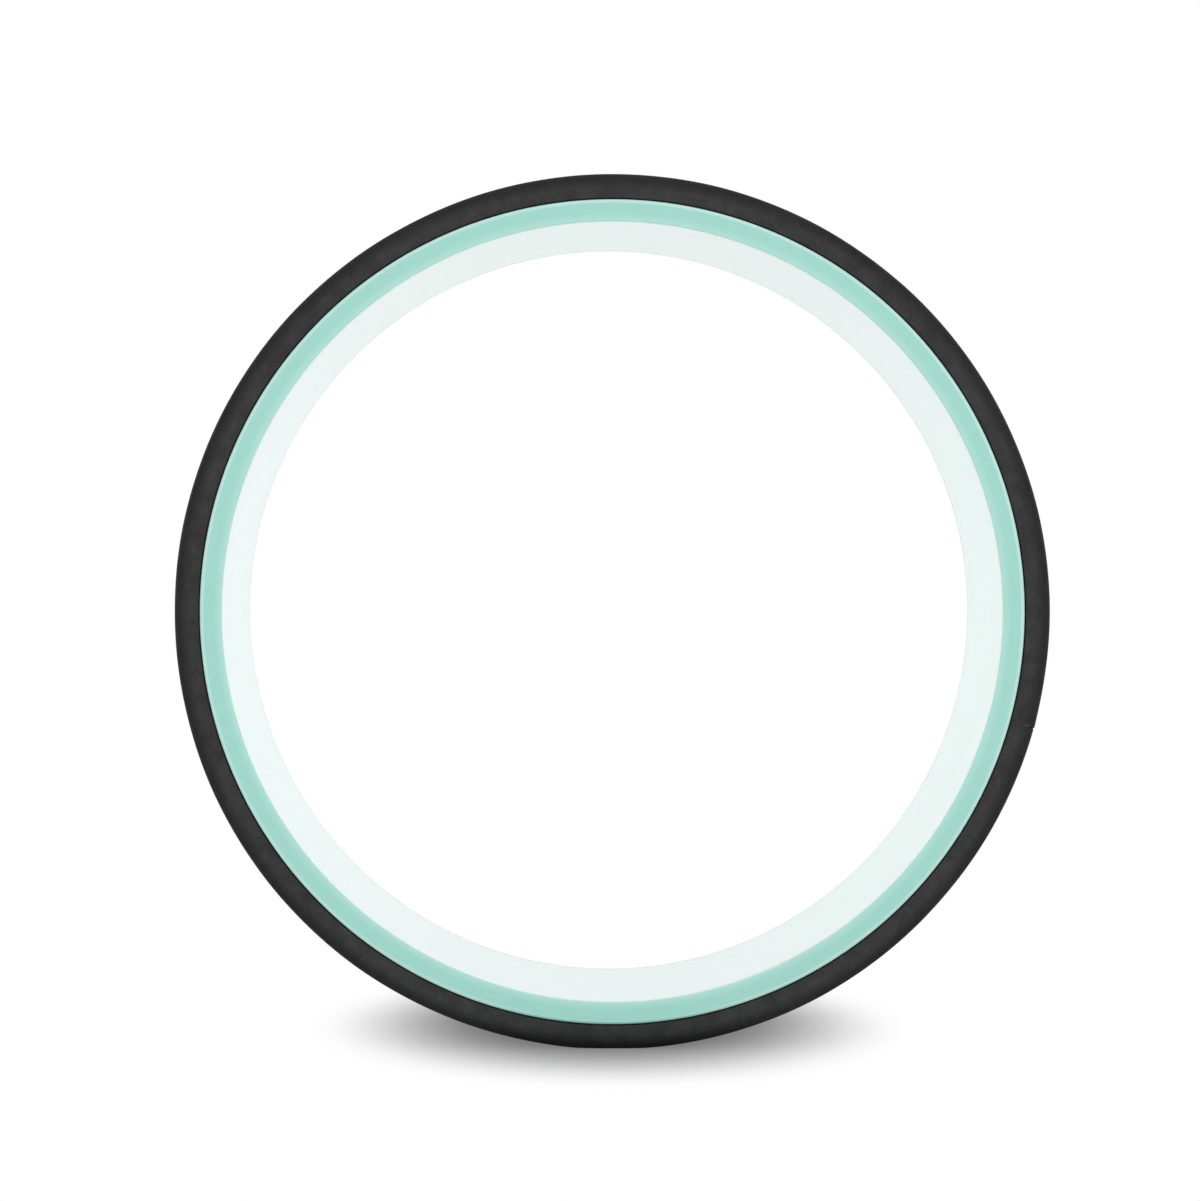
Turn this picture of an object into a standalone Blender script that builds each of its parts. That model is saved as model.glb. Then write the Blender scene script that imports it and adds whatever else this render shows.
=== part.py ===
"""Back roller wheel: a hollow rim of two moulded shells round a pale liner, with a wrapped foam pad.

The wheel rolls about +Y, its origin is the centre of the hoop, and +Z is up. Metres throughout.
"""

import math

import bmesh
import bpy
from mathutils import Matrix

# Driving dimensions of the rim, which is the two shells and the liner together
BORE_RADIUS = 0.1355
WHEEL_WIDTH = 0.1270
RIM_DEPTH = 0.0077
FLANGE_THICKNESS = 0.0030
DRUM_WALL = 0.0030
WEB_THICKNESS = 0.0025
FACE_CHAMFER = 0.0007
BORE_EDGE_ROUND = 0.0007
LINER_THICKNESS = 0.0024

# Driving dimensions of the foam pad and of the spine channel round its middle
PAD_THICKNESS = 0.0082
PAD_INSET = 0.0010
SHOULDER_RADIUS = 0.0040
CHANNEL_FLOOR_WIDTH = 0.0220
CHANNEL_SLOPE_WIDTH = 0.0080
CHANNEL_DEPTH = 0.0050
FLOOR_FLAT_DEPTH = 0.0005
SEAM_GAP = 0.0003
SEAM_ANGLE = -15.6

# Driving dimensions of the adhesive film between rim and pad
FILM_THICKNESS = 0.0004
FILM_INSET = 0.0020

# Driving dimensions of the ribs, bosses and pins inside the rim
RIB_COUNT = 24
RIB_THICKNESS = 0.0024
PIN_COUNT = 12
PIN_RADIUS = 0.00125
PIN_LENGTH = 0.0180
PIN_CHAMFER = 0.0003
BOSS_WIDTH = 0.0080
BOSS_END_WALL = 0.0020

# Gap left between pieces that touch, press or are glued on the real wheel
CLEARANCE = 0.0003

# Smoothness of the round shapes
HOOP_STEPS = 96
CORNER_STEPS = 4
EDGE_STEPS = 3
PIN_SIDES = 12

# How far an added or cutting shape runs into or past its neighbour
OVERRUN = 0.0008

# Radii that follow from the stack of pieces, from the bore outwards
rim_radius = BORE_RADIUS + RIM_DEPTH
liner_outer_radius = BORE_RADIUS + LINER_THICKNESS
hollow_inner_radius = liner_outer_radius + CLEARANCE
hollow_outer_radius = rim_radius - DRUM_WALL
film_inner_radius = rim_radius + CLEARANCE
film_outer_radius = film_inner_radius + FILM_THICKNESS
pad_inner_radius = film_outer_radius + CLEARANCE
tread_radius = pad_inner_radius + PAD_THICKNESS
channel_radius = tread_radius - CHANNEL_DEPTH
socket_radius = PIN_RADIUS + CLEARANCE
pin_circle_radius = (hollow_inner_radius + rim_radius) / 2

# Places along the axle, where the front of the wheel is at -Y and its middle at 0
face_y = -WHEEL_WIDTH / 2
flange_inner_y = face_y + FLANGE_THICKNESS
joint_y = -CLEARANCE / 2
web_y = joint_y - WEB_THICKNESS
pad_edge_y = face_y + PAD_INSET
film_edge_y = pad_edge_y + FILM_INSET
liner_edge_y = flange_inner_y + CLEARANCE
channel_floor_y = -CHANNEL_FLOOR_WIDTH / 2
channel_lip_y = channel_floor_y - CHANNEL_SLOPE_WIDTH
socket_end_y = -(PIN_LENGTH / 2 + CLEARANCE)
boss_end_y = socket_end_y - BOSS_END_WALL


def clear_scene():
    """Removes whatever the file holds, so that only the wheel is left."""
    for old in list(bpy.data.objects):
        bpy.data.objects.remove(old)


def finish_of(name, colour, roughness):
    """A Principled material of one colour."""
    made = bpy.data.materials.new(name)
    made.use_nodes = True
    shader = made.node_tree.nodes["Principled BSDF"]
    shader.inputs["Base Color"].default_value = (*colour, 1.0)
    shader.inputs["Roughness"].default_value = roughness
    shader.inputs["Metallic"].default_value = 0.0
    made.diffuse_color = (*colour, 1.0)
    return made


def placed(name, mesh, parent):
    """Puts a mesh in the scene as an object of that name."""
    made = bpy.data.objects.new(name, mesh)
    bpy.context.scene.collection.objects.link(made)
    made.parent = parent
    return made


def object_from(name, bm, material, parent=None):
    """Turns a bmesh into an object, shaded smooth but with crisp edges."""
    bmesh.ops.recalc_face_normals(bm, faces=bm.faces[:])
    mesh = bpy.data.meshes.new(name)
    bm.to_mesh(mesh)
    bm.free()
    mesh.shade_smooth()
    mesh.set_sharp_from_angle(angle=math.radians(30))
    mesh.materials.append(material)
    return placed(name, mesh, parent)


def helper_from(name, bm, material):
    """Turns a bmesh into a cutter or an added shape, which is not a piece of the wheel."""
    made = object_from(name, bm, material)
    made.hide_render = True
    made.display_type = "WIRE"
    return made


def boolean(target, other, operation):
    """Joins or cuts an object with a helper."""
    made = target.modifiers.new(other.name, "BOOLEAN")
    made.operation = operation
    made.object = other
    made.solver = "EXACT"


def arc(centre, radius, start, end, steps):
    """Points (radius, y) of a corner. Angles are degrees, 0 outwards and 90 towards +Y."""
    turns = [math.radians(start + (end - start) * step / steps) for step in range(steps + 1)]
    return [(centre[0] + radius * math.cos(t), centre[1] + radius * math.sin(t)) for t in turns]


def mirrored(front_half):
    """The outline of a whole section, from its front half and the mirror image of that."""
    return front_half + [(radius, -y) for radius, y in reversed(front_half)]


def turned(profile, seam_angle=None):
    """Spins a closed outline of (radius, y) points round +Y, whole or with a gap at a seam."""
    bm = bmesh.new()
    corners = [bm.verts.new((radius, y, 0.0)) for radius, y in profile]
    gap = 0.0
    if seam_angle is None:
        for index, corner in enumerate(corners):
            bm.edges.new((corner, corners[(index + 1) % len(corners)]))
    else:
        gap = SEAM_GAP / tread_radius
        bm.faces.new(corners)
        start = math.radians(seam_angle) + gap / 2
        bmesh.ops.transform(bm, matrix=Matrix.Rotation(-start, 4, "Y"), verts=bm.verts[:])
    bmesh.ops.spin(
        bm,
        geom=bm.verts[:] + bm.edges[:] + bm.faces[:],
        cent=(0.0, 0.0, 0.0),
        axis=(0.0, 1.0, 0.0),
        angle=-(2 * math.pi - gap),
        steps=HOOP_STEPS,
        use_merge=seam_angle is None,
    )
    return bm


def turns_of(count):
    """Even turns round the axle, half a spacing off the +X axis so that a half turn repeats them."""
    return [2 * math.pi * (index + 0.5) / count for index in range(count)]


def add_block(bm, low, high, turn):
    """Adds a box between two corners, given where +X is outwards, and turns it round the axle."""
    middle = [(a + b) / 2 for a, b in zip(low, high)]
    size = [b - a for a, b in zip(low, high)]
    shape = Matrix.Translation(middle) @ Matrix.Diagonal((*size, 1.0))
    bmesh.ops.create_cube(bm, size=1.0, matrix=Matrix.Rotation(-turn, 4, "Y") @ shape)


def add_bar(bm, radius, start_y, end_y, turn):
    """Adds a round bar along the axle's direction, on the circle that the pins stand on."""
    middle = Matrix.Translation((pin_circle_radius, (start_y + end_y) / 2, 0.0))
    along_axle = Matrix.Rotation(math.radians(90), 4, "X")
    bmesh.ops.create_cone(
        bm,
        cap_ends=True,
        segments=PIN_SIDES,
        radius1=radius,
        radius2=radius,
        depth=end_y - start_y,
        matrix=Matrix.Rotation(-turn, 4, "Y") @ middle @ along_axle,
    )


def shell_profile():
    """Outline of one shell: the flange, the drum wall and the web where two shells meet."""
    bore_round = min(BORE_EDGE_ROUND, FLANGE_THICKNESS / 2)
    chamfer = min(FACE_CHAMFER, FLANGE_THICKNESS / 2)
    bore_centre = (BORE_RADIUS + bore_round, face_y + bore_round)
    return [
        (BORE_RADIUS, flange_inner_y),
        *arc(bore_centre, bore_round, 180, 270, EDGE_STEPS),
        (rim_radius - chamfer, face_y),
        (rim_radius, face_y + chamfer),
        (rim_radius, joint_y),
        (hollow_inner_radius, joint_y),
        (hollow_inner_radius, web_y),
        (hollow_outer_radius, web_y),
        (hollow_outer_radius, flange_inner_y),
    ]


def rib_shapes(material):
    """Ribs that tie the flange, the drum wall and the web together."""
    bm = bmesh.new()
    low = (
        hollow_inner_radius + CLEARANCE,
        flange_inner_y - min(OVERRUN, FLANGE_THICKNESS / 2),
        -RIB_THICKNESS / 2,
    )
    high = (
        hollow_outer_radius + min(OVERRUN, DRUM_WALL / 2),
        web_y + min(OVERRUN, WEB_THICKNESS / 2),
        RIB_THICKNESS / 2,
    )
    for turn in turns_of(RIB_COUNT):
        add_block(bm, low, high, turn)
    return helper_from("rib_shapes", bm, material)


def boss_shapes(material):
    """Thick blocks behind the web, which the pin sockets are made in."""
    bm = bmesh.new()
    low = (hollow_inner_radius + CLEARANCE, boss_end_y, -BOSS_WIDTH / 2)
    high = (
        rim_radius - DRUM_WALL / 2,
        web_y + min(OVERRUN, WEB_THICKNESS / 2),
        BOSS_WIDTH / 2,
    )
    for turn in turns_of(PIN_COUNT):
        add_block(bm, low, high, turn)
    return helper_from("boss_shapes", bm, material)


def socket_shapes(material):
    """Round holes that open where the two shells meet."""
    bm = bmesh.new()
    for turn in turns_of(PIN_COUNT):
        add_bar(bm, socket_radius, socket_end_y, joint_y + OVERRUN, turn)
    return helper_from("socket_shapes", bm, material)


def rim_shells(material, parent):
    """Front and rear shells out of one mould, so the rear one is the front one turned round."""
    front = object_from("front_rim_shell", turned(shell_profile()), material, parent)
    boolean(front, rib_shapes(material), "UNION")
    boolean(front, boss_shapes(material), "UNION")
    boolean(front, socket_shapes(material), "DIFFERENCE")
    bpy.context.view_layer.update()
    graph = bpy.context.evaluated_depsgraph_get()
    moulded = bpy.data.meshes.new_from_object(front.evaluated_get(graph))
    front.modifiers.clear()
    front.data = moulded
    rear = placed("rear_rim_shell", moulded, parent)
    rear.rotation_euler = (0.0, 0.0, math.pi)


def joining_pins(material, parent):
    """Pins pressed into both shells, which hold the rim together with nothing showing outside."""
    bm = bmesh.new()
    half = PIN_LENGTH / 2
    add_bar(bm, PIN_RADIUS, -half, half, 0.0)
    rims = [e for e in bm.edges if abs(e.verts[0].co.y - e.verts[1].co.y) < half]
    bmesh.ops.bevel(bm, geom=rims, offset=PIN_CHAMFER, segments=1, affect="EDGES")
    pin = object_from("joining_pin_01", bm, material, parent)
    mesh = pin.data
    for index, turn in enumerate(turns_of(PIN_COUNT), start=1):
        if index > 1:
            pin = placed(f"joining_pin_{index:02d}", mesh, parent)
        pin.rotation_euler = (0.0, -turn, 0.0)


def inner_liner(material, parent):
    """Smooth sleeve that makes the inside wall, held between the two flanges."""
    profile = mirrored([(BORE_RADIUS, liner_edge_y), (liner_outer_radius, liner_edge_y)])
    object_from("inner_liner", turned(profile), material, parent)


def pad_adhesive(material, parent):
    """Double sided film wound on the drum before the foam goes on."""
    profile = mirrored([(film_inner_radius, film_edge_y), (film_outer_radius, film_edge_y)])
    object_from("pad_adhesive", turned(profile), material, parent)


def channel_slope():
    """Front side of the spine channel: a rounded lip that flows into a rounded foot."""
    radius = (CHANNEL_SLOPE_WIDTH**2 + CHANNEL_DEPTH**2) / (4 * CHANNEL_DEPTH)
    sweep = math.degrees(2 * math.atan2(CHANNEL_DEPTH, CHANNEL_SLOPE_WIDTH))
    lip_centre = (tread_radius - radius, channel_lip_y)
    foot_centre = (channel_radius + radius, channel_floor_y)
    lip = arc(lip_centre, radius, 0, sweep, EDGE_STEPS)
    foot = arc(foot_centre, radius, 180 + sweep, 180, EDGE_STEPS)
    return lip + foot[1:]


def floor_shape(material):
    """Block below the level that the foam flattens to where the wheel stands."""
    bm = bmesh.new()
    top = -(tread_radius - FLOOR_FLAT_DEPTH)
    low = (-tread_radius, -WHEEL_WIDTH, top - tread_radius)
    high = (tread_radius, WHEEL_WIDTH, top)
    add_block(bm, low, high, 0.0)
    return helper_from("floor_shape", bm, material)


def foam_pad(material, parent):
    """One foam strip wrapped round the rim, with its two ends meeting at the seam."""
    shoulder = min(SHOULDER_RADIUS, PAD_THICKNESS / 2)
    shoulder_centre = (tread_radius - shoulder, pad_edge_y + shoulder)
    front_half = [
        (pad_inner_radius, pad_edge_y),
        *arc(shoulder_centre, shoulder, 270, 360, CORNER_STEPS),
        *channel_slope(),
    ]
    pad = object_from("foam_pad", turned(mirrored(front_half), SEAM_ANGLE), material, parent)
    boolean(pad, floor_shape(material), "DIFFERENCE")


def build():
    """Makes every piece of the wheel round one empty at its centre."""
    clear_scene()
    centre = placed("wheel_centre", None, None)
    mint = finish_of("mint_plastic", (0.366, 0.687, 0.604), 0.35)
    pale = finish_of("pale_plastic", (0.670, 0.880, 0.820), 0.25)
    nylon = finish_of("natural_nylon", (0.780, 0.770, 0.720), 0.45)
    film = finish_of("adhesive_film", (0.015, 0.017, 0.017), 0.50)
    foam = finish_of("black_foam", (0.040, 0.040, 0.041), 0.80)
    rim_shells(mint, centre)
    inner_liner(pale, centre)
    joining_pins(nylon, centre)
    pad_adhesive(film, centre)
    foam_pad(foam, centre)


build()
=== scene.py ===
# A back roller wheel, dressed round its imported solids.
# Metres throughout. The wheel rolls about Y, its front faces -Y and it stands at the lowest Z.
import math

import bmesh
import bpy
import numpy as np
from mathutils import Matrix, Vector


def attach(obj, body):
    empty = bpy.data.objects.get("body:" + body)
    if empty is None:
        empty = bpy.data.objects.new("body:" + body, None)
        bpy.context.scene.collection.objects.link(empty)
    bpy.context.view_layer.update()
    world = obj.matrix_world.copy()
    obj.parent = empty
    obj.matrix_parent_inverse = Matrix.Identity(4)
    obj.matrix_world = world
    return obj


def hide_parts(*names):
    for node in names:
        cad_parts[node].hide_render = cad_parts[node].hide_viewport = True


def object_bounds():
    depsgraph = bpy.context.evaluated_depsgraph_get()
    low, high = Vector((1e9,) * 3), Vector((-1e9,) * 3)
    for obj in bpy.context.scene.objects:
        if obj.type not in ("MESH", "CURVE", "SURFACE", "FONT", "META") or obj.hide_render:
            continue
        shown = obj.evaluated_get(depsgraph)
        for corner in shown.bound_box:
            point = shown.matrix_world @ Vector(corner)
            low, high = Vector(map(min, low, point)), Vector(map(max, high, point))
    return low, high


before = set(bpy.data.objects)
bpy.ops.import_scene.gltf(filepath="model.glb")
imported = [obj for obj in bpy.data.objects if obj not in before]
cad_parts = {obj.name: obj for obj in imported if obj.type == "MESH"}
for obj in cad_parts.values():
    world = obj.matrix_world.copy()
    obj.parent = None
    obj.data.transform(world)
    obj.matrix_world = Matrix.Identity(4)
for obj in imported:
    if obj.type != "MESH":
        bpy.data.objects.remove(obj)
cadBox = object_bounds()
mm = 0.001


def hoopSize(node):
    # inner radius, outer radius, front and rear of a solid that was turned round Y
    points = np.array([corner.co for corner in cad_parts[node].data.vertices])
    reach = np.hypot(points[:, 0], points[:, 2])
    ends = points[:, 1]
    return float(reach.min()), float(reach.max()), float(ends.min()), float(ends.max())


boreRadius, rimRadius, rimFront, rimJoint = hoopSize("front_rim_shell")
padInner, treadRadius, padFront = hoopSize("foam_pad")[:3]
linerOuter, linerFront = hoopSize("inner_liner")[1:3]
floorLevel = cadBox[0].z
print(f"frame read: tread {treadRadius / mm:.1f}, rim {rimRadius / mm:.1f}, bore {boreRadius / mm:.1f} mm")


# Turning and joining


def asShare(values):
    return np.clip(values, 0, 1)


def roundCorner(centreRadius, centreY, radius, start, end, steps):
    # points of a round corner in the section, 0 degrees outwards and 90 towards the rear
    turns = np.radians(np.linspace(start, end, steps + 1))
    return [(centreRadius + radius * math.cos(t), centreY + radius * math.sin(t)) for t in turns]


def straightRun(start, end, spacing):
    # points between two points of the section, without the two ends
    count = max(1, round(math.dist(start, end) / spacing))
    shares = [step / count for step in range(1, count)]
    return [tuple(a + (b - a) * share for a, b in zip(start, end)) for share in shares]


def turnedMesh(name, rings, turns, closed):
    # rings x outline points x (radius, y), and the turn of each ring or of each of its points
    count, width = rings.shape[:2]
    turns = turns.reshape(count, -1)
    points = np.empty((count, width, 3))
    points[..., 0] = rings[..., 0] * np.cos(turns)
    points[..., 1] = rings[..., 1]
    points[..., 2] = rings[..., 0] * np.sin(turns)
    index = np.arange(count * width).reshape(count, width)
    following = np.roll(index, -1, axis=0) if closed else index[1:]
    leading = index if closed else index[:-1]
    quads = np.stack(
        [leading, np.roll(leading, -1, axis=1), np.roll(following, -1, axis=1), following],
        axis=-1,
    ).reshape(-1, 4)
    faces = quads.tolist()
    if not closed:
        faces.append(index[0][::-1].tolist())
        faces.append(index[-1].tolist())
    mesh = bpy.data.meshes.new(name)
    mesh.from_pydata(points.reshape(-1, 3).tolist(), [], faces)
    return mesh


def evenHoop(name, outline, steps):
    # the same section all the way round
    turns = np.linspace(0, 2 * math.pi, steps, endpoint=False)
    rings = np.repeat(np.array(outline)[None], steps, axis=0)
    return turnedMesh(name, rings, turns, closed=True)


def linkedObject(name, data):
    made = bpy.data.objects.new(name, data)
    bpy.context.scene.collection.objects.link(made)
    return made


def shadeCrisp(mesh, crispAngle):
    # smooth, but for edges that bend by more degrees than this
    mesh.shade_smooth()
    mesh.set_sharp_from_angle(angle=math.radians(crispAngle))


def shownPiece(name, mesh, material, crispAngle):
    work = bmesh.new()
    work.from_mesh(mesh)
    bmesh.ops.recalc_face_normals(work, faces=work.faces[:])
    work.to_mesh(mesh)
    work.free()
    shadeCrisp(mesh, crispAngle)
    mesh.materials.append(material)
    return linkedObject(name, mesh)


def markPoints(mesh, name, shares):
    # a share at each point of the mesh, which its finish reads by this name
    mark = mesh.attributes.new(name, "FLOAT", "POINT")
    mark.data.foreach_set("value", np.ravel(shares))


# Finishes


def addNode(tree, kind, settings=None, **inputs):
    made = tree.nodes.new(kind)
    for name, value in (settings or {}).items():
        setattr(made, name, value)
    for name, value in inputs.items():
        socket = made.inputs[name]
        if isinstance(value, bpy.types.NodeSocket):
            tree.links.new(value, socket)
        else:
            socket.default_value = value
    return made


def plainFinish(name):
    made = bpy.data.materials.new(name)
    made.use_nodes = True
    tree = made.node_tree
    place = addNode(tree, "ShaderNodeTexCoord").outputs["Object"]
    return made, tree, tree.nodes["Principled BSDF"], place


def noiseOf(tree, place, size, detail=2):
    # size is how wide the blotches are, in metres
    made = addNode(tree, "ShaderNodeTexNoise", Vector=place, Scale=1 / size, Detail=detail)
    return made.outputs["Fac"]


def cellsOf(tree, place, size, settings=None, **inputs):
    # how far the middle of the nearest cell is, as a share of the size
    made = addNode(tree, "ShaderNodeTexVoronoi", settings, Vector=place, Scale=1 / size, **inputs)
    return made.outputs["Distance"]


def spread(tree, value, low, high, fromLow=0.3, fromHigh=0.7):
    # a value laid between two other limits; a noise stays mostly within 0.3 and 0.7
    limits = {"From Min": fromLow, "From Max": fromHigh, "To Min": low, "To Max": high}
    return addNode(tree, "ShaderNodeMapRange", Value=value, **limits).outputs["Result"]


def shareTo(tree, share, low, high):
    # low where the share is 0, high where it is 1
    return spread(tree, share, low, high, fromLow=0.0, fromHigh=1.0)


def blendColours(tree, share, first, second):
    ends = [end if isinstance(end, bpy.types.NodeSocket) else (*end, 1.0) for end in (first, second)]
    made = addNode(tree, "ShaderNodeMix", {"data_type": "RGBA"}, Factor=share, A=ends[0], B=ends[1])
    return made.outputs["Result"]


def cloudedColour(tree, place, look):
    # two colours that lie close together, in soft clouds
    cloud = spread(tree, noiseOf(tree, place, look["cloudSize"], detail=3), 0.0, 1.0)
    return blendColours(tree, cloud, look["colour"], look["cloudColour"])


def shadedBy(tree, colour, share):
    made = addNode(tree, "ShaderNodeVectorMath", {"operation": "SCALE"}, Vector=colour, Scale=share)
    return made.outputs["Vector"]


def bumpOf(tree, height, strength, depth):
    made = addNode(tree, "ShaderNodeBump", Height=height, Strength=strength, Distance=depth)
    return made.outputs["Normal"]


def attributeOf(tree, name):
    return addNode(tree, "ShaderNodeAttribute", {"attribute_name": name}).outputs["Fac"]


palePlastic = {
    "colour": (0.690, 0.870, 0.828),
    "cloudColour": (0.708, 0.878, 0.841),
    "cloudSize": 45 * mm,
    "roughness": (0.147, 0.153),
    "patchSize": 35 * mm,
    "gloss": 0.3,
    "glossRoughness": 0.10,
    "wave": 0.1,
    "waveSize": 60 * mm,
    "waveDepth": 0.02 * mm,
}


def palePlasticFinish():
    finish, tree, shader, place = plainFinish("smoothPalePlastic")
    look = palePlastic
    tree.links.new(cloudedColour(tree, place, look), shader.inputs["Base Color"])
    rough = spread(tree, noiseOf(tree, place, look["patchSize"]), *look["roughness"])
    tree.links.new(rough, shader.inputs["Roughness"])
    wave = noiseOf(tree, place, look["waveSize"], detail=0)
    tree.links.new(bumpOf(tree, wave, look["wave"], look["waveDepth"]), shader.inputs["Normal"])
    shader.inputs["Coat Weight"].default_value = look["gloss"]
    shader.inputs["Coat Roughness"].default_value = look["glossRoughness"]
    return finish


mintPlastic = {
    "colour": (0.353, 0.700, 0.606),
    "cloudColour": (0.366, 0.705, 0.622),
    "cloudSize": 30 * mm,
    "roughness": (0.36, 0.44),
    "patchSize": 9 * mm,
    "grain": 0.35,
    "grainSize": 0.30 * mm,
    "grainDepth": 0.012 * mm,
    # painted highlight colour for the chamfer and for the face towards the bore
    "edgeHighlightColour": (0.580, 0.860, 0.800),
    # painted reflection colour for the bore's round
    "boreSheenColour": (0.475, 0.785, 0.708),
    "boreRoughness": 0.34,
    "stripRoughness": 0.15,
}


def mintPlasticFinish():
    finish, tree, shader, place = plainFinish("satinMintPlastic")
    look = mintPlastic
    paintedEdgeHighlight = attributeOf(tree, "edgeHighlight")
    polishedAndSheen = attributeOf(tree, "borePolishAndSheen")
    strip = attributeOf(tree, "boreStrip")
    # painted highlight: the chamfer and the face towards the bore are paler
    colour = blendColours(tree, paintedEdgeHighlight, cloudedColour(tree, place, look), look["edgeHighlightColour"])
    # painted reflection: the bore's round is paler than the face
    colour = blendColours(tree, polishedAndSheen, colour, look["boreSheenColour"])
    # the flange's own strip of the inside wall looks like the liner beside it
    colour = blendColours(tree, strip, colour, palePlastic["colour"])
    tree.links.new(colour, shader.inputs["Base Color"])
    coat = shareTo(tree, strip, 0.0, palePlastic["gloss"])
    tree.links.new(coat, shader.inputs["Coat Weight"])
    shader.inputs["Coat Roughness"].default_value = palePlastic["glossRoughness"]
    rough = spread(tree, noiseOf(tree, place, look["patchSize"], detail=4), *look["roughness"])
    for share, other in ((polishedAndSheen, look["boreRoughness"]), (strip, look["stripRoughness"])):
        rough = addNode(tree, "ShaderNodeMix", Factor=share, A=rough, B=other).outputs["Result"]
    tree.links.new(rough, shader.inputs["Roughness"])
    grainShare = shareTo(tree, strip, look["grain"], 0.0)
    grain = bumpOf(tree, noiseOf(tree, place, look["grainSize"]), grainShare, look["grainDepth"])
    tree.links.new(grain, shader.inputs["Normal"])
    return finish


blackFoam = {
    "cellColour": (0.0455, 0.0453, 0.0462),
    "cellEdgeColour": (0.0330, 0.0330, 0.0338),
    "cellSize": 0.45 * mm,
    "cellEdge": (0.35, 0.85),  # shares of the cell size, from its middle
    "cellBump": 0.6,
    "cellDepth": 0.045 * mm,
    "cutCloud": 0.20,
    "cutCloudSize": 5 * mm,
    # the skin's darker colour is partly painted shade on the shoulders
    "skinAndShadeColour": (0.0225, 0.0227, 0.0230),
    "poreColour": (0.0110, 0.0111, 0.0114),
    "poreSpacing": 1.0 * mm,
    "poreEdge": (0.15, 0.38),  # shares of the spacing, from the pore's middle
    "skinCloud": 0.16,
    "skinCloudSize": 14 * mm,
    "grainSize": 1.1 * mm,
    "grainSmoothness": 0.6,
    "grainBump": 0.5,
    "grainDepth": 0.14 * mm,
    # colour of the painted highlight above the seam
    "seamHighlightColour": (0.0720, 0.0720, 0.0710),
    "footShade": 0.55,
    "roughness": (0.70, 0.85),
    "patchSize": 6 * mm,
    "gloss": 0.10,
}


def blackFoamFinish():
    finish, tree, shader, place = plainFinish("closedCellFoam")
    look = blackFoam
    # the cut foam of the sides
    fromCell = cellsOf(tree, place, look["cellSize"])
    inCell = spread(tree, fromCell, 1.0, 0.0, *look["cellEdge"])
    cells = blendColours(tree, inCell, look["cellEdgeColour"], look["cellColour"])
    blotches = noiseOf(tree, place, look["cutCloudSize"], detail=4)
    cut = shadedBy(tree, cells, spread(tree, blotches, 1 - look["cutCloud"], 1 + look["cutCloud"]))
    cutBump = bumpOf(tree, fromCell, look["cellBump"], look["cellDepth"])
    # the moulded skin of shoulders, tread and channel, darker than the cut sides, which also paints shade
    # on the shoulders
    fromPore = cellsOf(tree, place, look["poreSpacing"])
    betweenPores = spread(tree, fromPore, 0.0, 1.0, *look["poreEdge"])
    pores = blendColours(tree, betweenPores, look["poreColour"], look["skinAndShadeColour"])
    clouds = noiseOf(tree, place, look["skinCloudSize"], detail=4)
    moulded = shadedBy(tree, pores, spread(tree, clouds, 1 - look["skinCloud"], 1.0))
    smoothCells = {"feature": "SMOOTH_F1"}
    grain = cellsOf(tree, place, look["grainSize"], smoothCells, Smoothness=look["grainSmoothness"])
    skinBump = bumpOf(tree, grain, look["grainBump"], look["grainDepth"])
    # both together
    skinAndShoulderShade = attributeOf(tree, "skinAndShoulderShade")
    body = blendColours(tree, skinAndShoulderShade, cut, moulded)
    # painted highlight: paler above the seam
    paintedHighlight = blendColours(tree, attributeOf(tree, "paintedHighlight"), body, look["seamHighlightColour"])
    # painted shade: darker at the foot of the pad
    footShade = shareTo(tree, attributeOf(tree, "nearFloor"), 1.0, 1 - look["footShade"])
    tree.links.new(shadedBy(tree, paintedHighlight, footShade), shader.inputs["Base Color"])
    bump = addNode(tree, "ShaderNodeMix", {"data_type": "VECTOR"}, Factor=skinAndShoulderShade, A=cutBump, B=skinBump)
    tree.links.new(bump.outputs["Result"], shader.inputs["Normal"])
    rough = spread(tree, noiseOf(tree, place, look["patchSize"], detail=4), *look["roughness"])
    tree.links.new(rough, shader.inputs["Roughness"])
    shader.inputs["Specular IOR Level"].default_value = look["gloss"]
    return finish


# the film is coloured near black to paint the shade in the narrow gap between rim and foam
filmDarkAsShade = {
    "colour": (0.012, 0.014, 0.014),
    "cloudColour": (0.018, 0.021, 0.021),
    "cloudSize": 8 * mm,
    "roughness": 0.5,
}

naturalNylon = {
    "colour": (0.76, 0.75, 0.70),
    "cloudColour": (0.82, 0.81, 0.77),
    "cloudSize": 3 * mm,
    "roughness": 0.45,
}


def cloudedFinish(name, look):
    finish, tree, shader, place = plainFinish(name)
    tree.links.new(cloudedColour(tree, place, look), shader.inputs["Base Color"])
    shader.inputs["Roughness"].default_value = look["roughness"]
    return finish


# The rim: two shells out of one mould

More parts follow.
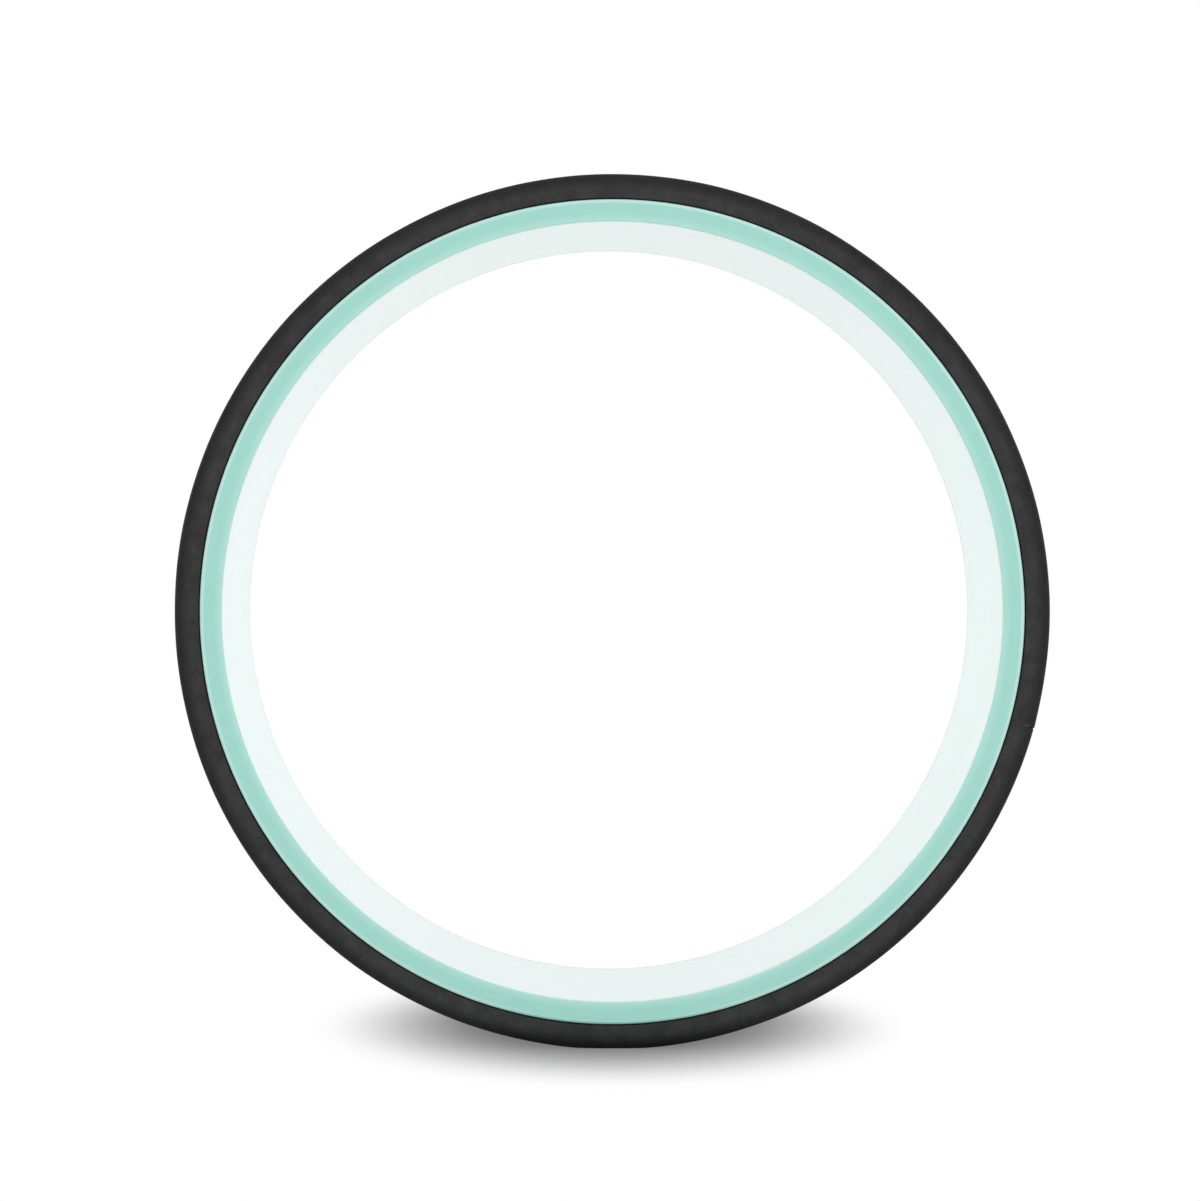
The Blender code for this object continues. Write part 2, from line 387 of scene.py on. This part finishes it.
rimShell = {
    "steps": 360,
    "crispAngle": 40,
    "flange": 3.0 * mm,
    "drumWall": 3.0 * mm,
    "web": 2.5 * mm,
    "linerGap": 0.3 * mm,
    "faceChamfer": 0.7 * mm,
    "chamferEase": 0.25,  # share of the chamfer
    "easePoints": [(-1.0, 0.0), (-0.3, 0.08), (0.5, 0.5)],  # along and across, as shares of the ease
    "boreRound": 0.7 * mm,
    "holdingRow": 0.12 * mm,  # a row of points that keeps the shading beside the round flat
    "faceRows": 0.8 * mm,
    "ribs": 24,
    "ribThickness": 2.4 * mm,
    "ribGap": 0.6 * mm,
    "bosses": 12,
    "bossWidth": 8.0 * mm,
    "bossDepth": 11.3 * mm,
    "socketRadius": 1.55 * mm,
    "socketDepth": 9.3 * mm,
    "socketSides": 24,
    "overlap": 0.8 * mm,
    "closest": 0.002 * mm,
    # the next four set where the painted highlight lies on the face and the chamfer
    "highlightStart": 1.5 * mm,  # from the outside of the rim
    "highlightWidth": 1.0 * mm,
    "innerHighlight": 0.35,
    "innerHighlightWidth": 2.4 * mm,
    "footStart": 8.5 * mm,
    "footReach": 8 * mm,
    "polishAndSheenWidth": 0.7,  # share of the bore's round
    "stripEdge": 0.03 * mm,
    "stripBlend": 0.02 * mm,
    "flangeSlack": 0.1 * mm,
}


def rimOutline():
    shell = rimShell
    hollowInner = linerOuter + shell["linerGap"]
    hollowOuter = rimRadius - shell["drumWall"]
    flangeInner = rimFront + shell["flange"]
    webFront = rimJoint - shell["web"]
    bend = shell["boreRound"]
    bore = roundCorner(boreRadius + bend, rimFront + bend, bend, 180, 270, steps=8)
    highlightRows = [(rimRadius - shell["highlightStart"], rimFront), (rimRadius - shell["highlightWidth"], rimFront)]
    # the two corners of the chamfer are eased alike, one the mirror image of the other
    ease = shell["faceChamfer"] * shell["chamferEase"]
    corner = [(ease * along, ease * across) for along, across in shell["easePoints"]]
    faceEnd = rimRadius - shell["faceChamfer"]
    wallStart = rimFront + shell["faceChamfer"]
    return [
        (boreRadius, flangeInner),
        (boreRadius, bore[0][1] + shell["holdingRow"]),
        *bore,
        *straightRun(bore[-1], highlightRows[0], shell["faceRows"]),
        *highlightRows,
        *[(faceEnd + along, rimFront + across) for along, across in corner],
        *[(rimRadius - across, wallStart - along) for along, across in reversed(corner)],
        (rimRadius, rimJoint),
        (hollowInner, rimJoint),
        (hollowInner, webFront),
        (hollowOuter, webFront),
        (hollowOuter, flangeInner),
    ]


def addBlock(work, low, high, turn):
    # a box between two corners, given where +X is outwards, turned round the axle
    middle = [(a + b) / 2 for a, b in zip(low, high)]
    size = [b - a for a, b in zip(low, high)]
    shape = Matrix.Translation(middle) @ Matrix.Diagonal((*size, 1.0))
    bmesh.ops.create_cube(work, size=1.0, matrix=Matrix.Rotation(-turn, 4, "Y") @ shape)


def evenTurns(count):
    return [2 * math.pi * (index + 0.5) / count for index in range(count)]


def ribsAndBosses():
    # each reaches into the walls that it joins, a boss deeper than a rib
    shell = rimShell
    work = bmesh.new()
    inner = linerOuter + shell["ribGap"]
    intoFlange = rimFront + shell["flange"] - shell["overlap"]
    intoWeb = rimJoint - shell["web"] + shell["overlap"]
    intoDrum = rimRadius - shell["drumWall"] + shell["overlap"]
    half = shell["ribThickness"] / 2
    for turn in evenTurns(shell["ribs"]):
        addBlock(work, (inner, intoFlange, -half), (intoDrum, intoWeb, half), turn)
    half = shell["bossWidth"] / 2
    deeper = intoDrum + shell["overlap"]
    for turn in evenTurns(shell["bosses"]):
        addBlock(work, (inner, -shell["bossDepth"], -half), (deeper, intoWeb, half), turn)
    return work


def pinSockets():
    shell = rimShell
    work = bmesh.new()
    circle = (linerOuter + shell["linerGap"] + rimRadius) / 2
    front, rear = -shell["socketDepth"], rimJoint + shell["overlap"]
    for turn in evenTurns(shell["bosses"]):
        place = Matrix.Rotation(-turn, 4, "Y") @ Matrix.Translation((circle, (front + rear) / 2, 0.0))
        bmesh.ops.create_cone(
            work,
            cap_ends=True,
            segments=shell["socketSides"],
            radius1=shell["socketRadius"],
            radius2=shell["socketRadius"],
            depth=rear - front,
            matrix=place @ Matrix.Rotation(math.radians(90), 4, "X"),
        )
    return work


def joinedOrCut(target, work, operation):
    bmesh.ops.recalc_face_normals(work, faces=work.faces[:])
    mesh = bpy.data.meshes.new("helper")
    work.to_mesh(mesh)
    work.free()
    helper = linkedObject("helper", mesh)
    modifier = target.modifiers.new("shape", "BOOLEAN")
    modifier.operation = operation
    modifier.object = helper
    modifier.solver = "EXACT"
    bpy.context.view_layer.update()
    graph = bpy.context.evaluated_depsgraph_get()
    shaped = bpy.data.meshes.new_from_object(target.evaluated_get(graph))
    target.modifiers.clear()
    target.data = shaped
    bpy.data.objects.remove(helper)


def withoutSlivers(mesh):
    # points that the cuts leave closer together than this become one
    closest = rimShell["closest"]
    work = bmesh.new()
    work.from_mesh(mesh)
    bmesh.ops.remove_doubles(work, verts=work.verts[:], dist=closest)
    bmesh.ops.dissolve_degenerate(work, edges=work.edges[:], dist=closest)
    work.to_mesh(mesh)
    work.free()


def markEdges(mesh):
    shell = rimShell
    points = np.empty(len(mesh.vertices) * 3)
    mesh.vertices.foreach_get("co", points)
    x, y, z = points.reshape(-1, 3).T
    reach = np.hypot(x, z)
    # a painted highlight makes the chamfer round the face a little paler, but not next to the floor, where
    # it catches no light
    paintedEdgeHighlight = asShare((reach - (rimRadius - shell["highlightStart"])) / shell["highlightWidth"])
    paintedEdgeHighlight *= asShare((z - floorLevel - shell["footStart"]) / shell["footReach"])
    # a painted highlight makes the face a little paler towards the bore too
    paintedHighlight = asShare(1 - (reach - boreRadius - shell["boreRound"]) / shell["innerHighlightWidth"])
    paintedEdgeHighlight = np.maximum(paintedEdgeHighlight, paintedHighlight * shell["innerHighlight"])
    markPoints(mesh, "edgeHighlight", paintedEdgeHighlight * (y < rimFront + 2 * shell["faceChamfer"]))
    # the bore's round is polished and carries a painted reflection that makes it paler, and the flange
    # inside it is as pale as the liner
    onFlange = y < rimFront + shell["flange"] + shell["flangeSlack"]
    polishAndSheenWidth = shell["polishAndSheenWidth"] * shell["boreRound"]
    polishedAndSheen = asShare((boreRadius + shell["boreRound"] - reach) / polishAndSheenWidth)
    markPoints(mesh, "borePolishAndSheen", polishedAndSheen * onFlange)
    strip = asShare((boreRadius + shell["stripEdge"] - reach) / shell["stripBlend"])
    markPoints(mesh, "boreStrip", strip * onFlange)


def rimShells(finish):
    shell = rimShell
    mesh = evenHoop("frontRim", rimOutline(), shell["steps"])
    front = shownPiece("frontRim", mesh, finish, shell["crispAngle"])
    joinedOrCut(front, ribsAndBosses(), "UNION")
    joinedOrCut(front, pinSockets(), "DIFFERENCE")
    withoutSlivers(front.data)
    shadeCrisp(front.data, shell["crispAngle"])
    markEdges(front.data)
    rearMesh = front.data.copy()
    rearMesh.transform(Matrix.Rotation(math.pi, 4, "Z"))
    rear = linkedObject("rearRim", rearMesh)
    for piece, node in ((front, "front_rim_shell"), (rear, "rear_rim_shell")):
        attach(piece, "root")
        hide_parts(node)
    print("rim shells made")


# The liner: the smooth inside wall

liner = {
    "steps": 360,
    "crispAngle": 40,
    "endEase": 0.10 * mm,
    "holdingRow": 0.25 * mm,
    "rows": 12,
}


def innerLiner(finish):
    ease = liner["endEase"]
    inner = roundCorner(boreRadius + ease, linerFront + ease, ease, 270, 180, steps=3)
    # a row close to the end keeps the shading of the straight wall flat
    half = [(linerOuter, linerFront), *inner, (boreRadius, inner[-1][1] + liner["holdingRow"])]
    wall = straightRun(half[-1], (boreRadius, -half[-1][1]), -2 * linerFront / liner["rows"])
    outline = half + wall + [(radius, -y) for radius, y in reversed(half)]
    mesh = evenHoop("innerWall", outline, liner["steps"])
    piece = shownPiece("innerWall", mesh, finish, liner["crispAngle"])
    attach(piece, "root")
    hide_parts("inner_liner")
    print("inner wall made")


# The foam pad

foamPad = {
    "steps": 600,
    "crispAngle": 50,
    "shoulder": 4.0 * mm,
    "channelFloor": 22.0 * mm,
    "channelSlope": 8.0 * mm,
    "channelDepth": 5.0 * mm,
    "creep": 0.45 * mm,
    "creepWidth": 1.5 * mm,
    "creepRound": 0.2 * mm,
    "treadRows": 2.0 * mm,
    "sideRows": 0.8 * mm,
    "innerRows": 6 * mm,
    "seamAngle": -15.6,  # degrees, on the right and below the middle
    "seamGap": 0.02 * mm,
    "seamEaseSide": 0.06 * mm,
    "seamEaseTread": 0.45 * mm,
    "seamEaseCorner": 0.90 * mm,
    "cornerGain": 2.6,
    "easeFull": 0.25,  # share of the pad's depth, from the inside
    "endRows": [0, 0.02, 0.06, 0.12, 0.2, 0.32, 0.48, 0.7, 1.0],  # shares of the ease at a corner
    "endClear": 1.5,
    "seamLift": 0.20 * mm,
    "seamLiftReach": 4 * mm,
    "seamWander": 0.25 * mm,
    "seamWanderLength": 70 * mm,
    "seamWanderPhase": 0.8,
    "seamWanderReach": 8 * mm,
    "unevenness": 0.05 * mm,
    "treadWaves": [(5, 1.0, 1.3), (11, 0.6, 0.4), (23, 0.4, 2.1)],  # count, height and phase of each
    "sideUnevenness": 0.10 * mm,
    "sideWaves": [(7, 1.0, 0.7), (17, 0.5, 1.9)],
    "contactBulge": 0.25 * mm,
    "contactWidth": 18 * mm,
    # the next four lay the skin, whose dark colour is partly painted shade on the shoulders
    "skinAndShadeStart": 5.2 * mm,  # under the tread
    "skinAndShadeFull": 1.6 * mm,
    "treadSkinAndShade": 0.72,
    "treadSkinAndShadeBlend": 0.3,
    # the next four place the painted highlight above the seam
    "seamHighlightReach": 0.9 * mm,
    "seamHighlightGain": 1.3,
    "seamHighlightStart": (-0.3 * mm, 0.4 * mm),  # from the start of the shoulder, and how wide it blends
    "seamHighlightEnd": (2.2 * mm, 0.5 * mm),
    "footReach": 6.5 * mm,
}


def padOutline():
    pad = foamPad
    shoulder = pad["shoulder"]
    # the foam creeps inwards over the edge of its adhesive film
    creepInner, creepEnd = padInner - pad["creep"], padFront + pad["creepWidth"]
    ease = pad["creepRound"]
    creepCorner = roundCorner(creepInner + ease, padFront + ease, ease, 180, 270, steps=3)
    start = [(padInner, creepEnd + pad["creep"]), (creepInner, creepEnd), *creepCorner]
    side = start + straightRun(start[-1], (treadRadius - shoulder, padFront), pad["sideRows"])
    edge = roundCorner(treadRadius - shoulder, padFront + shoulder, shoulder, 270, 360, steps=14)
    # two equal arcs, which meet half way down, make each slope of the channel
    depth, slope = pad["channelDepth"], pad["channelSlope"]
    bend = (slope**2 + depth**2) / (4 * depth)
    sweep = math.degrees(2 * math.atan2(depth, slope))
    footY = -pad["channelFloor"] / 2
    lipY = footY - slope
    lip = roundCorner(treadRadius - bend, lipY, bend, 0, sweep, steps=8)
    foot = roundCorner(treadRadius - depth + bend, footY, bend, 180 + sweep, 180, steps=8)[1:]
    tread = straightRun(edge[-1], lip[0], pad["treadRows"])
    half = side + edge + tread + lip + foot
    floor = straightRun(half[-1], (half[-1][0], -half[-1][1]), pad["treadRows"])
    inner = straightRun((padInner, -start[0][1]), start[0], pad["innerRows"])
    return half + floor + [(radius, -y) for radius, y in reversed(half)] + inner


def outlineNormals(outline):
    # the outward direction at each point of the section
    along = np.roll(outline, -1, axis=0) - np.roll(outline, 1, axis=0)
    across = np.stack([-along[:, 1], along[:, 0]], axis=1)
    across /= np.linalg.norm(across, axis=1)[:, None]
    middle = outline.mean(axis=0)
    outwards = np.sign(((outline - middle) * across).sum())
    return across * outwards


def padZones(outline):
    # shares at each point of the section, by where it lies
    radius, y = outline.T
    shoulder = foamPad["shoulder"]
    outside = asShare((radius - padInner) / (treadRadius - padInner))
    side = asShare((np.abs(y) + padFront + shoulder) / shoulder)
    wideSide = asShare((np.abs(y) + padFront + 2 * shoulder) / (2 * shoulder))
    return {
        "outside": outside,  # from the inside of the pad to its tread
        "tread": asShare((radius - treadRadius + shoulder) / shoulder),
        "side": side,
        "sideways": wideSide * np.sign(y),
        "middle": (side == 0) & (outside > 0),  # tread and channel, between the shoulders
    }


def padTurns():
    # how far each ring lies round from the seam and from the nearer cut end, and its turn
    pad = foamPad
    arcGap = pad["seamGap"] / treadRadius
    sweep = 2 * math.pi - arcGap
    ends = np.array(pad["endRows"]) * pad["seamEaseCorner"] / treadRadius
    clear = ends[-1] * pad["endClear"]
    between = np.linspace(0, sweep, pad["steps"])[1:-1]
    between = between[(between > clear) & (between < sweep - clear)]
    travel = np.concatenate([ends, between, (sweep - ends)[::-1]])
    start = math.radians(pad["seamAngle"]) + arcGap / 2
    return travel * treadRadius, np.minimum(travel, sweep - travel) * treadRadius, start + travel


def cutEnds(outline, zones, fromSeam, fromEnd):
    # both cut ends are rounded over, most on the shoulders, less along the tread and least on the sides
    pad = foamPad
    corner = asShare(pad["cornerGain"] * zones["tread"] ** 2 * zones["side"])
    onTop = np.maximum(zones["tread"], zones["middle"])
    ease = pad["seamEaseSide"] + (pad["seamEaseTread"] - pad["seamEaseSide"]) * onTop
    ease += (pad["seamEaseCorner"] - pad["seamEaseTread"]) * corner
    share = asShare(1 - fromEnd[:, None] / ease[None])
    inset = ease[None] * (1 - np.sqrt(1 - share**2)) * asShare(zones["outside"] / pad["easeFull"])[None]
    rings = outline[None] - inset[..., None] * outlineNormals(outline)[None]
    # one end stands a little proud
    lift = pad["seamLift"] * np.exp(-fromSeam / pad["seamLiftReach"])
    rings[..., 0] += lift[:, None] * onTop[None]
    return rings


def wavesRound(turns, waves):
    return sum(height * np.sin(count * turns + phase) for count, height, phase in waves)[:, None]


def pressFlat(rings, zones, turns):
    # under the wheel the foam is pressed flat and swells sideways a little
    pad = foamPad
    across = rings[..., 0] * np.cos(turns)[:, None]
    height = rings[..., 0] * np.sin(turns)[:, None]
    swell = np.exp(-((across / pad["contactWidth"]) ** 2)) * (height < 0)
    rings[..., 1] += pad["contactBulge"] * swell * (zones["sideways"] * zones["outside"])[None]
    down = np.minimum(np.sin(turns), -1e-6)[:, None]  # kept off 0, because it divides
    rings[..., 0] = np.where(height < floorLevel, floorLevel / down, rings[..., 0])


def knifeWander(outline, turns, fromEnd):
    # the knife wandered a little across the width, and both ends follow the same cut
    pad = foamPad
    phase = 2 * math.pi * outline[:, 1] / pad["seamWanderLength"] + pad["seamWanderPhase"]
    wander = pad["seamWander"] * np.sin(phase) / treadRadius
    nearSeam = np.exp(-((fromEnd / pad["seamWanderReach"]) ** 2))
    return turns[:, None] + wander[None] * nearSeam[:, None]


def markFoam(mesh, outline, zones, fromSeam, height):
    pad = foamPad
    # the moulded skin covers the shoulders and, a little less, tread and channel, and the sides are cut;
    # its dark colour is partly painted shade, full on the shoulders, where they turn from the light, and
    # less on the tread
    skinAndShadeRange = pad["skinAndShadeStart"] - pad["skinAndShadeFull"]
    skinAndShoulderShade = asShare((outline[:, 0] - treadRadius + pad["skinAndShadeStart"]) / skinAndShadeRange)
    skinAndShoulderShade[zones["middle"]] = 1.0
    onTread = asShare(1 - zones["side"] / pad["treadSkinAndShadeBlend"]) * (zones["outside"] > 0)
    skinAndShoulderShade -= (1 - pad["treadSkinAndShade"]) * onTread
    markPoints(mesh, "skinAndShoulderShade", np.tile(asShare(skinAndShoulderShade), len(fromSeam)))
    # above the seam a painted highlight makes the cut corner paler where the shoulder starts
    nearSeam = asShare(pad["seamHighlightGain"] * (1 - fromSeam / pad["seamHighlightReach"]))
    fromBend = outline[:, 0] - (treadRadius - pad["shoulder"])
    (start, startBlend), (end, endBlend) = pad["seamHighlightStart"], pad["seamHighlightEnd"]
    atBend = asShare((fromBend - start) / startBlend) * asShare((end - fromBend) / endBlend)
    markPoints(mesh, "paintedHighlight", nearSeam[:, None] * (atBend * (zones["side"] > 0))[None])
    # painted shade: the foot of the pad is darkened, as it gets almost no light
    markPoints(mesh, "nearFloor", np.exp(-((height / pad["footReach"]) ** 2)))


def foamPadPiece(finish):
    pad = foamPad
    outline = np.array(padOutline())
    zones = padZones(outline)
    fromSeam, fromEnd, turns = padTurns()
    rings = cutEnds(outline, zones, fromSeam, fromEnd)
    treadWave, sideWave = wavesRound(turns, pad["treadWaves"]), wavesRound(turns, pad["sideWaves"])
    rings[..., 0] += pad["unevenness"] * treadWave * zones["outside"][None]
    rings[..., 1] += pad["sideUnevenness"] * sideWave * zones["sideways"][None]
    pressFlat(rings, zones, turns)
    pointTurns = knifeWander(outline, turns, fromEnd)
    mesh = turnedMesh("foamTread", rings, pointTurns, closed=False)
    markFoam(mesh, outline, zones, fromSeam, rings[..., 0] * np.sin(pointTurns) - floorLevel)
    piece = shownPiece("foamTread", mesh, finish, pad["crispAngle"])
    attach(piece, "root")
    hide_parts("foam_pad")
    print("foam pad made")


# What the solids already show well


def refinish(node, finish):
    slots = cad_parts[node].data.materials
    slots.clear()
    slots.append(finish)


def hiddenParts():
    # the film's near-black colour is painted shade in the gap between rim and foam
    refinish("pad_adhesive", cloudedFinish("filmDarkenedForShade", filmDarkAsShade))
    nylon = cloudedFinish("naturalNylon", naturalNylon)
    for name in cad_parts:
        if name.startswith("joining_pin"):
            refinish(name, nylon)
    print("film and pins finished")


# The studio

studio = {
    "floorColour": (0.88, 0.88, 0.88),
    "floorRoughness": 0.9,
    "floorSize": 12.0,
    "aroundLight": 0.52,
    "shadowMiddle": (-0.3 * mm, 30 * mm),
    "shadowHalf": (105 * mm, 200 * mm),
    "shadowTone": 0.132,
    "shadowEdge": 1.12,  # share of the half size, as all distances in the shadow
    "shadowRise": 4.0,
    "shadowFall": 3.8,
    "shadowRange": 2.0,
    "shadowStops": 24,
    "shadowShare": 0.94,
    "shareEnds": (0.8, 1.0),
}


def combined(tree, operation, first, second):
    made = addNode(tree, "ShaderNodeMath", {"operation": operation})
    tree.links.new(first, made.inputs[0])
    tree.links.new(second, made.inputs[1])
    return made.outputs[0]


def whiteSeenDirectly(tree):
    # 1 for camera, glossy and transmission rays, 0 for the rest
    path = addNode(tree, "ShaderNodeLightPath")
    total = path.outputs["Is Camera Ray"]
    for name in ("Is Glossy Ray", "Is Transmission Ray"):
        total = combined(tree, "MAXIMUM", total, path.outputs[name])
    return total


def shadowShade(distance):
    # the tone of the painted shadow on the floor, dark in its middle and clear from its edge on
    rise = (distance / studio["shadowEdge"]) ** studio["shadowRise"]
    clear = 1 - (1 - rise) ** studio["shadowFall"]
    return studio["shadowTone"] + (1 - studio["shadowTone"]) * clear


def floorFinish():
    # seen directly the floor is white, less a painted soft shadow round the foot of the wheel
    finish, tree, shader, place = plainFinish("paleFloor")
    shader.inputs["Base Color"].default_value = (*studio["floorColour"], 1.0)
    shader.inputs["Roughness"].default_value = studio["floorRoughness"]
    shader.inputs["Specular IOR Level"].default_value = 0.0
    # the texture kind of mapping takes the middle away first, and then divides by the half sizes
    scaled = addNode(tree, "ShaderNodeMapping", {"vector_type": "TEXTURE"}, Vector=place)
    scaled.inputs["Location"].default_value = (*studio["shadowMiddle"], floorLevel)
    scaled.inputs["Scale"].default_value = (*studio["shadowHalf"], 1.0)
    fromMiddle = scaled.outputs["Vector"]
    reach = addNode(tree, "ShaderNodeVectorMath", {"operation": "LENGTH"}, Vector=fromMiddle)
    distance = reach.outputs["Value"]
    along = spread(tree, distance, 0.0, 1.0, 0.0, studio["shadowRange"])
    ramp = addNode(tree, "ShaderNodeValToRGB", Fac=along)
    stops = ramp.color_ramp.elements
    while len(stops) < studio["shadowStops"]:
        stops.new(1.0)
    for stop, at in zip(stops, np.linspace(0, studio["shadowEdge"], studio["shadowStops"])):
        shade = shadowShade(at)
        stop.position = at / studio["shadowRange"]
        stop.color = (shade, shade, shade, 1.0)
    glow = addNode(tree, "ShaderNodeEmission", Color=ramp.outputs["Color"])
    # a little of the floor's true shading stays in the middle of the shadow
    painted = spread(tree, distance, studio["shadowShare"], 1.0, *studio["shareEnds"])
    share = combined(tree, "MULTIPLY", painted, whiteSeenDirectly(tree))
    both = addNode(tree, "ShaderNodeMixShader", Fac=share)
    tree.links.new(shader.outputs["BSDF"], both.inputs[1])
    tree.links.new(glow.outputs["Emission"], both.inputs[2])
    tree.links.new(both.outputs["Shader"], tree.nodes["Material Output"].inputs["Surface"])
    return finish


def studioFloor():
    half = studio["floorSize"] / 2
    mesh = bpy.data.meshes.new("studioFloor")
    corners = [(-half, -half), (half, -half), (half, half), (-half, half)]
    mesh.from_pydata([(x, y, floorLevel) for x, y in corners], [], [(0, 1, 2, 3)])
    mesh.materials.append(floorFinish())
    floor = linkedObject("studioFloor", mesh)


def studioWorld():
    world = bpy.data.worlds.new("whiteStudio")
    bpy.context.scene.world = world
    world.use_nodes = True
    tree = world.node_tree
    back = tree.nodes["Background"]
    back.inputs["Color"].default_value = (1.0, 1.0, 1.0, 1.0)
    strength = shareTo(tree, whiteSeenDirectly(tree), studio["aroundLight"], 1.0)
    tree.links.new(strength, back.inputs["Strength"])


softboxes = {
    "overhead": {"at": (0.0, 0.0, 1.9), "size": 1.8, "power": 7.0},
    "frontLeft": {"at": (-1.75, -1.80, 0.35), "size": 2.8, "power": 21.0},
    "frontRight": {"at": (1.80, -1.75, 0.30), "size": 2.8, "power": 27.0},
    "rearLeft": {"at": (-1.75, 1.80, 0.40), "size": 2.8, "power": 18.5},
    "rearRight": {"at": (1.80, 1.75, 0.40), "size": 2.8, "power": 20.0},
}


def studioLights():
    for name, box in softboxes.items():
        lamp = bpy.data.lights.new(name, "AREA")
        lamp.shape = "DISK"
        lamp.size = box["size"]
        lamp.energy = box["power"]
        holder = linkedObject(name, lamp)
        holder.location = box["at"]
        holder.rotation_euler = (-Vector(box["at"])).to_track_quat("-Z", "Y").to_euler()


photoCamera = {
    "lens": 122.36,
    "sensorWidth": 36.0,
    "clipEnd": 50.0,
    "fromFrontFace": 1.4166,
    "leftOfAxle": 15.6 * mm,
    "aboveAxle": 7.0 * mm,
    "turnRight": 0.4543,  # degrees, as is the next
    "tipDown": 0.1252,
}


def studioCamera():
    shot = photoCamera
    lens = bpy.data.cameras.new("photoCamera")
    lens.lens = shot["lens"]
    lens.sensor_width = shot["sensorWidth"]
    lens.clip_end = shot["clipEnd"]
    camera = linkedObject("photoCamera", lens)
    camera.location = (-shot["leftOfAxle"], rimFront - shot["fromFrontFace"], shot["aboveAxle"])
    camera.rotation_euler = (math.radians(90 - shot["tipDown"]), 0.0, -math.radians(shot["turnRight"]))
    bpy.context.scene.camera = camera


rimShells(mintPlasticFinish())
innerLiner(palePlasticFinish())
foamPadPiece(blackFoamFinish())
hiddenParts()
studioFloor()
studioWorld()
studioLights()
studioCamera()
bpy.context.scene.view_settings.view_transform = "Standard"
print("studio set")
